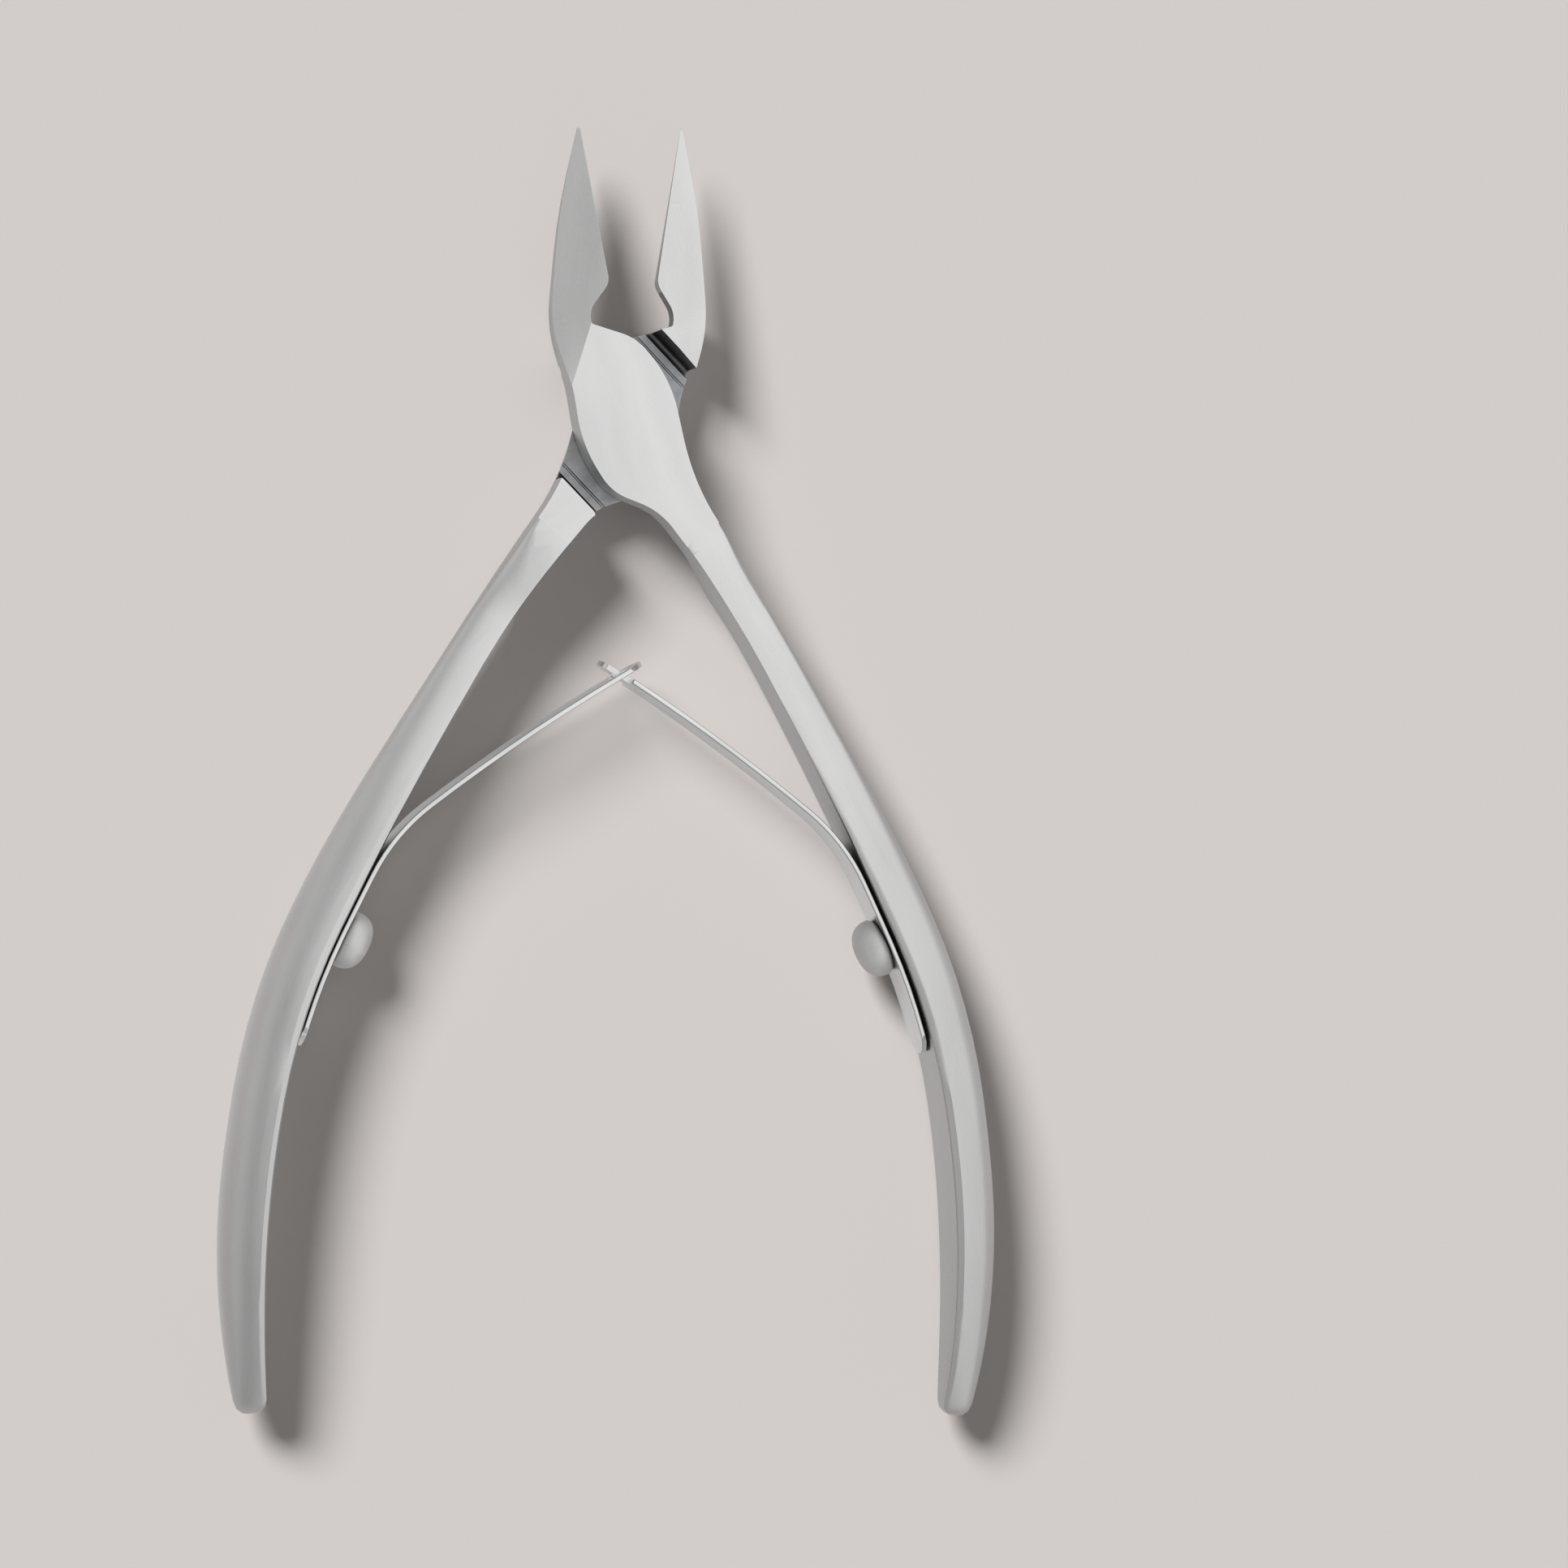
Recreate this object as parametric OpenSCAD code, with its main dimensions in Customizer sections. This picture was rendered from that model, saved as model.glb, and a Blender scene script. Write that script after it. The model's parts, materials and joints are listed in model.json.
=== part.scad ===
// Cuticle nipper: two crossed levers in a lap joint, held open by a pair of hooked leaf springs.
// Millimetres. The pivot axis is Z through the origin, Y runs from the grips to the jaw tips,
// and the back face of the joint lies on Z = 0. Each lever is drawn closed, cutting edge on X = 0,
// with its jaw at the left and its grip at the right, then mirrored and swung open.

/* [Joint] */
// Angle between the two levers as the springs hold them open
open_angle = 19.4; // [14:0.2:24]
// Thickness of the head from back face to front face
head_t = 8.4; // [7.4:0.1:9.6]
// Running gap between the two laps
lap_gap = 0.12; // [0.08:0.02:0.3]
// Half width of the head at the pivot
waist = 4.7; // [4.3:0.1:5.2]
// Distance from the pivot to each shoulder of the milled recess
shoulder_reach = 8.2; // [7.9:0.1:9]
// Slope of the shoulders across the closed nipper, in degrees
shoulder_slope = 35.5; // [30:0.5:40]
// Draft of the back half of the head, in degrees
back_draft = 11; // [8:0.5:16]
// Radius of the relief groove in each shoulder corner
groove_r = 0.4; // [0.2:0.05:0.6]
// Distance from each shoulder to the scored line in the floor of the recess
score_back = 1.55; // [1.2:0.05:2]
// Diameter of the pivot rivet
pivot_d = 4; // [3:0.1:5]
// Diameter of the flush head of the pivot rivet
pivot_head_d = 6; // [5.6:0.1:7.2]
// Height of the flush head of the pivot rivet
pivot_head_h = 1.2; // [0.8:0.1:1.8]
// Depth of the blind seat of the rivet in the front lap
pivot_seat = 2.6; // [1.8:0.1:3]
// Running clearance round the pivot rivet
pivot_clearance = 0.03; // [0.02:0.01:0.08]

/* [Jaws] */
// Distance from the pivot to the jaw tips
jaw_l = 28.8; // [25:0.2:32]
// Distance from the pivot to the heel of the cutting edge
heel_y = 13.2; // [12.4:0.1:15]
// Greatest width of one jaw, at its root
jaw_w = 5.75; // [5.2:0.05:6.4]
// Gap that is left between the closed cutting edges
edge_gap = 0.06; // [0.04:0.01:0.12]
// Depth of the throat beside the cutting edge
throat_w = 2.2; // [1.8:0.05:2.6]
// Height of the outer rim of the blade backs above the back of the head
blade_back_z = 4.1; // [3.6:0.1:4.4]
// Rise of that rim from root to tip
blade_back_rise = 0.4; // [0:0.05:0.8]
// Height of the cutting face at the heel, above the hollow back of the blade
blade_t = 2.1; // [1.6:0.1:2.6]
// Slope of the hollow back across the blade, in degrees
hollow_across = 24.7; // [20:0.5:28]
// Slope of the hollow back along the blade, in degrees
hollow_along = 5.6; // [4:0.2:8]
// Radius of the rounded root of the hollow, seen from behind
hollow_r = 6.1; // [5.6:0.1:6.8]
// Slope of the outer bevel across the blade, in degrees
bevel_across = 25; // [23:0.2:28]
// Slope of the cutting edge along the blade, in degrees
bevel_along = 13; // [11:0.2:14.6]
// Relief of the inner blade face behind the cutting edge, in degrees
edge_relief = 1.5; // [0.5:0.1:4]

/* [Grips] */
// Inner face at the crotch, outward from the centre line
crotch_x = 2.3; // [1.8:0.1:2.8]
// Inner face at the crotch, down from the pivot
crotch_y = 10; // [9.4:0.1:11]
// Heading of the neck as it leaves the head, in degrees from straight down
neck_angle = 30.8; // [28:0.2:33]
// Heading at the top of the spring seat
seat_top_angle = 19.8; // [18:0.2:22]
// Heading at the foot of the spring seat
seat_foot_angle = 15.5; // [13:0.1:17]
// Heading at the inward turn of the grip end
end_angle = -16.2; // [-20:0.2:-12]
// Radius of the neck
neck_r = 87; // [70:1:110]
// Radius of the spring seat
seat_r = 370; // [300:10:440]
// Radius of the grip at the palm
grip_r = 60; // [50:1:75]
// Radius of the grip end
end_r = 104; // [90:2:125]
// Width of the neck
neck_w = 6.5; // [5.6:0.1:7.6]
// Width of the grip at the palm
grip_w = 9.5; // [8.4:0.1:11]
// Depth of the lever where it leaves the head
root_depth = 3.8; // [3.6:0.05:4.3]
// Depth of the neck
neck_depth = 3.45; // [3:0.05:4]
// Depth of the lever at the spring seat
seat_depth = 4.65; // [4.2:0.05:5.2]
// Depth of the grip at the palm
grip_depth = 4.35; // [3.8:0.05:5]
// Depth of the grip at its end
end_depth = 2.8; // [2.2:0.1:3.4]
// Radius of the softened inner edges of the grip
inner_edge_r = 0.6; // [0.3:0.05:0.8]

/* [Leaf springs] */
// Thickness of the spring strip
spring_t = 0.45; // [0.3:0.05:0.6]
// Width of the spring strip
spring_w = 6; // [5:0.1:6.4]
// Gap between strip and grip along the seat
strip_gap = 0.25; // [0.1:0.05:0.5]
// Tail of the strip, along the inner face from the crotch
spring_tail = 55.7; // [53:0.1:58]
// Lift-off of the strip, along the inner face from the crotch
spring_lift = 38.4; // [37:0.1:40]
// Radius of the bend where the strip lifts off
bend_r = 19; // [16:0.5:23]
// Angle that the bend turns through
bend_turn = 25.6; // [22:0.2:29]
// Radius of the free arm
arm_r = 184; // [140:2:240]
// Length of the free arm beyond the bend
arm_l = 24.2; // [23:0.1:25.4]
// Width of the tongue that hooks through the slot
tongue_w = 2.8; // [2.2:0.1:3.4]
// Length of the tongue
tongue_l = 3.4; // [3:0.1:4]
// Clearance of the tongue in the slot
hook_clearance = 0.4; // [0.3:0.05:0.6]
// Length of the slot
slot_l = 2.6; // [2.2:0.1:3]
// Distance of the slot centre from the spring tip
slot_back = 2.1; // [1.9:0.05:2.4]

/* [Spring rivets] */
// Place of the rivet, along the inner face from the crotch
rivet_s = 44.7; // [44:0.1:46]
// Diameter of the domed head
dome_d = 5.5; // [5:0.1:6]
// Height of the domed head above the strip
dome_h = 2.7; // [2:0.1:3.2]
// Diameter of the shank
shank_d = 2.4; // [1.8:0.1:3]
// Depth of the shank in the grip
shank_depth = 2.4; // [1.6:0.1:2.6]
// Clearance of the shank in its holes
shank_clearance = 0.02; // [0.01:0.01:0.06]

/* [Hidden] */

$fn = 64;
steel = "#c9cacb";
spring_steel = "#d8d8d6";
rivet_steel = "#bcbdbe";

half_angle = open_angle / 2;
mid_z = head_t / 2;
margin = 1;
far = 60;
pivot_r = pivot_d / 2;
pivot_head_r = pivot_head_d / 2;
pivot_end_gap = 0.05;
bevel_x = tan(bevel_across);
bevel_y = tan(bevel_along);
relief = tan(edge_relief);

// Turning arcs of the inner face: radius, heading at the start, heading at the end
arcs = [
    [neck_r, neck_angle, seat_top_angle],
    [seat_r, seat_top_angle, seat_foot_angle],
    [grip_r, seat_foot_angle, 0],
    [end_r, 0, end_angle],
];
crotch = [crotch_x, -crotch_y];
// Lengths along the inner face: root in the head, neck, spring seat and palm
root_at = 2.4;
neck_at = 12;
seat_at = 43;
palm_at = 68;
// Rounding of the grip end in side view, and its superellipse power in plan
end_round = 1.1;
end_power = 2.2;
// Superellipse power of the grip section: square at the root, round further down
root_squareness = 40;
grip_squareness = 2.35;
rounding_run = 9;
// Length over which the draft of the inner face runs out
draft_run = 6;
// Share by which the widest line of the neck lies in front of the middle
front_bias = 0.45;
// Fineness of the loft: points of a section, spacing of the sections, sections of the grip end
section_n = 24;
edge_n = 2;
root_step = 1.2;
neck_step = 2.8;
end_n = 14;
end_flat = 0.02;
crisp_r = 0.05;
// Fineness of the outline arcs, in degrees
arc_step = 3;

function mix(a, b, t) = a + (b - a) * t;
function ease(t) = let(c = max(0, min(1, t))) c * c * (3 - 2 * c);
function unit(v) = v / norm(v);
function left_of(v) = [-v[1], v[0]];
function turn(v, a) = [v[0] * cos(a) - v[1] * sin(a), v[0] * sin(a) + v[1] * cos(a)];
function outward(heading) = [cos(heading), sin(heading)];

// Polygon corners [point, radius] to an outline with each corner rounded by an arc
function corner(a, b, c, r, step) =
    let(
        u = unit(a - b),
        v = unit(c - b),
        opening = acos(max(-1, min(1, u * v))),
        sweep = 180 - opening,
        tangent = r * tan(sweep / 2),
        side = sign(u[0] * v[1] - u[1] * v[0]),
        centre = b + u * tangent + left_of(u) * r * side,
        start = b + u * tangent - centre,
        n = max(1, ceil(sweep / step))
    )
    r <= 0 || sweep < 0.5 ? [b] : [for (i = [0:n]) centre + turn(start, -side * sweep * i / n)];
function corner_at(corners, i, step) =
    let(n = len(corners))
    corner(corners[(i + n - 1) % n][0], corners[i][0], corners[(i + 1) % n][0], corners[i][1], step);
function rounded(corners, step = arc_step) =
    [for (i = [0:len(corners) - 1]) each corner_at(corners, i, step)];

// Inner face of the grip: point and heading at a length along it
function arc_l(i) = arcs[i][0] * (arcs[i][1] - arcs[i][2]) * PI / 180;
function arc_move(i, a) = arcs[i][0] * [cos(a) - cos(arcs[i][1]), sin(a) - sin(arcs[i][1])];
function face_at(s, i = 0, p = crotch) =
    s > arc_l(i) && i < len(arcs) - 1 ? face_at(s - arc_l(i), i + 1, p + arc_move(i, arcs[i][2]))
    : let(a = arcs[i][1] - s / arcs[i][0] * 180 / PI) [p + arc_move(i, a), a];
grip_l = arc_l(0) + arc_l(1) + arc_l(2) + arc_l(3);

// Depth and width of the grip along its length
function depth_at(s) =
    s < neck_at ? mix(neck_depth, root_depth, pow((neck_at - s) / (neck_at - root_at), 2))
    : s < seat_at ? mix(neck_depth, seat_depth, ease((s - neck_at) / (seat_at - neck_at)))
    : s < palm_at ? mix(seat_depth, grip_depth, ease((s - seat_at) / (palm_at - seat_at)))
    : mix(grip_depth, end_depth, pow((s - palm_at) / (grip_l - palm_at), 2));
function width_at(s) =
    s < neck_at ? mix(head_t, neck_w, ease((s - root_at) / (neck_at - root_at)))
    : s < palm_at ? mix(neck_w, grip_w, ease((s - neck_at) / (palm_at - neck_at)))
    : grip_w * pow(max(0, 1 - pow((s - palm_at) / (grip_l - palm_at), end_power)), 1 / end_power);
function rounding_at(s) = ease((s - root_at) / rounding_run);
function bias_at(s) =
    front_bias * ease((s - root_at) / (neck_at - root_at)) * (1 - ease((s - neck_at) / (seat_at - neck_at)));
function edge_r_at(s) =
    max(crisp_r, inner_edge_r * ease((s - neck_at) / (seat_at - neck_at)) * width_at(s) / grip_w);
function end_inset(s) =
    let(e = grip_l - s) e >= end_round ? 0 : end_round - sqrt(end_round * end_round - pow(end_round - e, 2));

// One cross section, outward and upward: flat inner face, softened inner edges, rounded back of the grip
function half_section(s, depth, half_w) =
    let(
        power = mix(2 / root_squareness, 2 / grip_squareness, rounding_at(s)),
        lean = tan(back_draft) * (1 - rounding_at(s)),
        draft = tan(back_draft) * (1 - ease((s - root_at) / draft_run)) * half_w,
        r = min(edge_r_at(s), half_w / 2)
    )
    [
        for (i = [0:edge_n]) let(a = 90 * i / edge_n) [r - r * cos(a), half_w - r + r * sin(a)],
        for (i = [1:section_n - 1])
            let(
                a = 180 * i / section_n,
                up = sign(cos(a)) * pow(abs(cos(a)), power),
                out = depth * pow(sin(a), power)
            )
            [out * (1 - lean * half_w * max(0, -up) / depth), half_w * (up + bias_at(s) * (1 - up * up))],
        for (i = [edge_n:-1:0]) let(a = 90 * i / edge_n) [draft + r - r * cos(a), r - half_w - r * sin(a)],
        [0, 0],
    ];
function grip_section(s) =
    let(face = face_at(s), inset = end_inset(s), n = outward(face[1]))
    [for (q = half_section(s, depth_at(s) - 2 * inset, width_at(s) / 2))
        let(p = face[0] + n * (inset + q[0]))
        [p[0], p[1], mid_z + q[1]]];

grip_stations = [
    each [root_at:root_step:neck_at],
    each [neck_at + neck_step / 2:neck_step:palm_at - neck_step / 2],
    for (i = [0:end_n]) mix(palm_at, grip_l - end_flat, sin(90 * i / end_n)),
];

module grip() {
    rings = [for (s = grip_stations) grip_section(s)];
    n = len(rings[0]);
    last = (len(rings) - 1) * n;
    faces = [
        for (k = [0:len(rings) - 2], i = [0:n - 1])
            let(j = (i + 1) % n, a = k * n)
            each [[a + i, a + j, a + n + j], [a + i, a + n + j, a + n + i]],
        for (i = [0:n - 3]) each [[n - 1, i + 1, i], [last + n - 1, last + i, last + i + 1]],
    ];
    polyhedron([for (r = rings) each r], faces);
}

// Where the head meets the root of the grip, and the direction of both edges there
root_overlap = 0.15;
root_end = root_at + root_overlap;
root_face = face_at(root_end);
root_inner = root_face[0];
root_outer = outer_at(root_end);
neck_way = unit(root_inner - face_at(root_at)[0]);
outer_way = unit(root_outer - outer_at(root_at));
function outer_at(s) = let(face = face_at(s)) face[0] + outward(face[1]) * depth_at(s);

// Outline of the head, from the jaw tip round by the throat, the lap, the root of the grip and the hip
edge_x = edge_gap / 2;
throat_drop = 2.25;
throat_l = 1.3;
throat_lean = 0.05;
crown_in = 3;
crown_drop = 1.9;
lap_in = 0.4;
lap_drop = 4.2;
waist_run = 4.4;
crotch_run = 4.2;
hip_out = 0.2;
hip_y = -1.4;
haunch_x = -2.8;
haunch_y = -6.1;
side_y = 3.8;
cheek_out = 0.05;
cheek_y = 10.2;
bow_share = 0.47;
bow_width = 0.56;
throat = [-throat_w, heel_y - throat_drop];
throat_foot = throat - [throat_lean, throat_l];
crown = [waist - crown_in, throat_foot[1] - crown_drop];
lap_side = [waist - lap_in, crown[1] - lap_drop];
lap_waist = root_outer - outer_way * waist_run;
crotch_top = root_inner - neck_way * crotch_run;
haunch = [haunch_x, haunch_y];
hip = [-waist - hip_out, hip_y];
side = [-waist - hip_out, side_y];
cheek = [-jaw_w - cheek_out, cheek_y];
jaw_bow = [-jaw_w * bow_width, mix(heel_y, jaw_l, bow_share)];
// Radii of its corners in the same order; the root of the grip stays sharp
tip_r = 0.15;
heel_r = 1.7;
throat_r = 2.2;
foot_r = 0.3;
crown_r = 5;
lap_r = 12;
waist_r = 23;
crotch_r = 7;
haunch_r = 5;
hip_r = 13;
side_r = 16;
cheek_r = 14;
bow_r = 60;
head_corners = [
    [[-edge_x, jaw_l], tip_r],
    [[-edge_x, heel_y], heel_r],
    [throat, throat_r],
    [throat_foot, foot_r],
    [crown, crown_r],
    [lap_side, lap_r],
    [lap_waist, waist_r],
    [root_outer, 0],
    [root_inner, 0],
    [crotch_top, crotch_r],
    [haunch, haunch_r],
    [hip, hip_r],
    [side, side_r],
    [cheek, cheek_r],
    [jaw_bow, bow_r],
];
// Places in that list of the corners along the two drafted walls
lap_wall_corners = [5:7];
hip_wall_corners = [8:14];

// The bevels rise a little above the boss, which ends inside the throat
heel_rise = 0.25;
heel_z = head_t + heel_rise;
boss_past_throat = 0.4;
boss_end = throat[1] + boss_past_throat;

module head() {
    difference() {
        linear_extrude(heel_z)
            polygon(rounded(head_corners));
        translate([-far, boss_end - 2 * far, head_t])
            cube([2 * far, 2 * far, far]);
        back_draft_cuts();
    }
}

// Draft of the back half of the head, leaning in below each facet of its walls
module back_draft_cuts() {
    lap_wall = [
        for (i = lap_wall_corners) each corner_at(head_corners, i, arc_step),
        root_outer + outer_way * root_depth,
    ];
    hip_wall = [
        root_inner + neck_way * root_depth,
        for (i = hip_wall_corners) each corner_at(head_corners, i, arc_step),
    ];
    for (wall = [lap_wall, hip_wall], i = [0:len(wall) - 2])
        draft_cut(wall[i], wall[i + 1]);
}

module draft_cut(from, to) {
    out = left_of(unit(to - from));
    overlap = 0.02;
    intersection() {
        half_space([from[0], from[1], mid_z], [out[0], out[1], -tan(back_draft)]);
        translate([-far, min(from[1], to[1]) - overlap, -margin])
            cube([2 * far, abs(to[1] - from[1]) + 2 * overlap, mid_z + margin]);
    }
}

// Everything on the +Z side of a plane through a point
module half_space(point, normal) {
    lean = atan2(norm([normal[0], normal[1]]), normal[2]);
    translate(point)
        rotate([0, lean, atan2(normal[1], normal[0])])
            translate([-far, -far, 0])
                cube([2 * far, 2 * far, far]);
}

// Space behind the blades: a straight step with a rounded top and a filleted root
module blade_back_cut() {
    step_round = 1;
    step_fillet = 1.4;
    step_arc = 10;
    lead = 3;
    back = [
        [[heel_y - lead, -margin], 0],
        [[heel_y - lead, 0], 0],
        [[heel_y, 0], step_round],
        [[heel_y, blade_back_z], step_fillet],
        [[jaw_l + margin, blade_back_z + blade_back_rise], 0],
        [[jaw_l + margin, -margin], 0],
    ];
    rotate([90, 0, 90])
        translate([0, 0, -far / 2])
            linear_extrude(far)
                polygon(rounded(back, step_arc));
}

// Hollow of the blade back, sloping up to the cutting face and running into the throat
module hollow_cut() {
    behind_throat = 0.3;
    intersection() {
        half_space([0, heel_y, heel_z - blade_t], [tan(hollow_across), -tan(hollow_along), -1]);
        translate([0, throat_foot[1] - behind_throat + hollow_r, -margin])
            linear_extrude(head_t) {
                circle(r = hollow_r);
                translate([-hollow_r, 0])
                    square([2 * hollow_r, far]);
            }
    }
}

module outer_bevel_cut() {
    half_space([0, heel_y, heel_z], [-bevel_x, bevel_y, 1]);
}

// Relief of the inner blade face, tilted about the cutting edge
module edge_relief_cut() {
    intersection() {
        half_space([-edge_x, heel_y, heel_z], [1, -bevel_y * relief, -relief]);
        translate([-throat_w - margin, throat[1], -margin])
            cube([2 * throat_w + 2 * margin, far, head_t + 2 * margin]);
    }
}

// Milled recess for the other lap, from z0 to z1, with a relief groove and a scored line at each end
module recess_cut(z0, z1, floor_z) {
    score_r = 0.15;
    rotate([0, 0, shoulder_slope]) {
        translate([-far / 2, -shoulder_reach, z0])
            cube([far, 2 * shoulder_reach, z1 - z0]);
        for (side = [-1, 1], line = [[groove_r, groove_r], [score_back, score_r]])
            translate([-far / 2, side * (shoulder_reach - line[0]), floor_z])
                rotate([0, 90, 0])
                    cylinder(r = line[1], h = far);
    }
}

// Spring path in the frame of its closed lever: points with leans, tail first
seat_offset = spring_t / 2;
nose_ratio = 0.56;
function on_seat(s) =
    let(face = face_at(s))
    [face[0] - outward(face[1]) * (strip_gap + seat_offset), face[1]];
function up_along(lean) = [-sin(lean), cos(lean)];
function bend_step(r, a, b) = r * [cos(b) - cos(a), sin(b) - sin(a)];
tail = on_seat(spring_tail);
lift = on_seat(spring_lift);
arm_turn = arm_l / arm_r * 180 / PI;
bend_lean = lift[1] + bend_turn;
tip_lean = bend_lean + arm_turn;
bend_end = lift[0] + bend_step(bend_r, lift[1], bend_lean);
tip_p = bend_end + bend_step(arm_r, bend_lean, tip_lean);
bend_n = 8;
spring_path = [
    [tail[0] - up_along(tail[1]) * margin, tail[1]],
    for (i = [0:bend_n]) on_seat(mix(spring_tail, spring_lift, i / bend_n)),
    for (i = [1:bend_n])
        let(a = lift[1] + bend_turn * i / bend_n) [lift[0] + bend_step(bend_r, lift[1], a), a],
    for (i = [1:bend_n])
        let(a = bend_lean + arm_turn * i / bend_n) [bend_end + bend_step(arm_r, bend_lean, a), a],
    [tip_p + up_along(tip_lean) * margin, tip_lean],
];

// Puts things on the strip: X to the grip side, Y along the strip towards its tip, Z up
module on_strip(p, lean) {
    translate([p[0], p[1], mid_z])
        rotate([0, 0, lean])
            children();
}

// Rivet axis: Z points from the grip out through the domed head, which clears the hollow of the strip
module on_rivet() {
    place = on_seat(rivet_s);
    hollow = 0.06;
    on_strip(place[0], place[1])
        translate([-seat_offset - hollow, 0, 0])
            rotate([0, -90, 0])
                children();
}

// Cuts a strip off at Y = 0 with a round nose
module nose_cut(r) {
    rotate([0, 90, 0])
        translate([0, 0, -margin])
            linear_extrude(2 * margin)
                difference() {
                    translate([-spring_w, -r])
                        square([2 * spring_w, r + 2 * margin]);
                    translate([0, -r])
                        circle(r = r);
                }
}

module strip() {
    last = len(spring_path) - 1;
    near = [for (p = spring_path) p[0] - turn([seat_offset, 0], p[1])];
    back = [for (i = [last:-1:0]) let(p = spring_path[i]) p[0] + turn([seat_offset, 0], p[1])];
    difference() {
        translate([0, 0, mid_z - spring_w / 2])
            linear_extrude(spring_w)
                polygon(concat(near, back));
        on_strip(tail[0], tail[1])
            rotate([0, 0, 180])
                nose_cut(spring_w * nose_ratio);
        on_rivet()
            translate([0, 0, -margin])
                cylinder(d = shank_d + 2 * shank_clearance, h = 2 * margin);
    }
}

module slotted_strip() {
    slot_w = tongue_w + 2 * hook_clearance;
    difference() {
        strip();
        on_strip(tip_p, tip_lean) {
            translate([-margin, -slot_back - slot_l / 2, -slot_w / 2])
                cube([2 * margin, slot_l, slot_w]);
            nose_cut(spring_w * nose_ratio);
        }
    }
}

module tongued_strip() {
    difference() {
        strip();
        on_strip(tip_p, tip_lean) {
            for (side = [0, 1])
                mirror([0, 0, side])
                    translate([-margin, -tongue_l, tongue_w / 2])
                        cube([2 * margin, tongue_l + 2 * margin, spring_w]);
            nose_cut(tongue_w * nose_ratio);
        }
    }
}

module spring_rivet() {
    rim_h = 0.5;
    rim_bevel = 0.35;
    fullness = 0.8;
    dome_n = 12;
    dome = [for (i = [0:dome_n]) let(a = 90 * i / dome_n)
        [dome_d / 2 * pow(cos(a), fullness), rim_h + (dome_h - rim_h) * pow(sin(a), fullness)]];
    foot = -spring_t - shank_depth;
    profile = concat([[0, foot], [shank_d / 2, foot], [shank_d / 2, 0], [dome_d / 2 - rim_bevel, 0]],
                     [for (p = dome) [max(0, p[0]), p[1]]]);
    on_rivet()
        rotate_extrude($fn = 48)
            polygon(profile);
}

// Half of the nipper in its closed place; the lap is in front or behind
module lever(front) {
    difference() {
        union() {
            head();
            grip();
        }
        blade_back_cut();
        hollow_cut();
        outer_bevel_cut();
        edge_relief_cut();
        if (front)
            recess_cut(-margin, mid_z + lap_gap / 2, mid_z + lap_gap / 2);
        else
            recess_cut(mid_z - lap_gap / 2, head_t + margin, mid_z - lap_gap / 2);
        on_rivet()
            translate([0, 0, -spring_t - shank_depth - shank_clearance])
                cylinder(d = shank_d + 2 * shank_clearance, h = shank_depth + margin);
        pivot_hole(front);
    }
}

module pivot_hole(front) {
    if (front)
        translate([0, 0, -margin])
            cylinder(r = pivot_r + shank_clearance, h = mid_z + pivot_seat + margin);
    else {
        translate([0, 0, -margin])
            cylinder(r = pivot_r + pivot_clearance, h = head_t + 2 * margin);
        cylinder(r1 = pivot_head_r + pivot_clearance, r2 = pivot_r + pivot_clearance,
                 h = pivot_head_h + pivot_clearance);
    }
}

module right_half() {
    rotate([0, 0, half_angle])
        children();
}

module left_half() {
    rotate([0, 0, -half_angle])
        mirror([1, 0, 0])
            children();
}

module front_lever() {
    color(steel)
        right_half()
            lever(true);
}

module back_lever() {
    color(steel)
        left_half()
            lever(false);
}

module pivot_rivet() {
    end_z = mid_z + pivot_seat - pivot_end_gap;
    color(rivet_steel)
        rotate_extrude()
            polygon([[0, 0], [pivot_head_r, 0], [pivot_r, pivot_head_h], [pivot_r, end_z], [0, end_z]]);
}

module right_leaf_spring() {
    color(spring_steel)
        right_half()
            tongued_strip();
}

module left_leaf_spring() {
    color(spring_steel)
        left_half()
            slotted_strip();
}

module right_spring_rivet() {
    color(rivet_steel)
        right_half()
            spring_rivet();
}

module left_spring_rivet() {
    color(rivet_steel)
        left_half()
            spring_rivet();
}

front_lever();
back_lever();
pivot_rivet();
left_leaf_spring();
right_leaf_spring();
left_spring_rivet();
right_spring_rivet();
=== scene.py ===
import json
import math

import bmesh
import bpy
import numpy as np
from mathutils import Matrix, Vector


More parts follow.
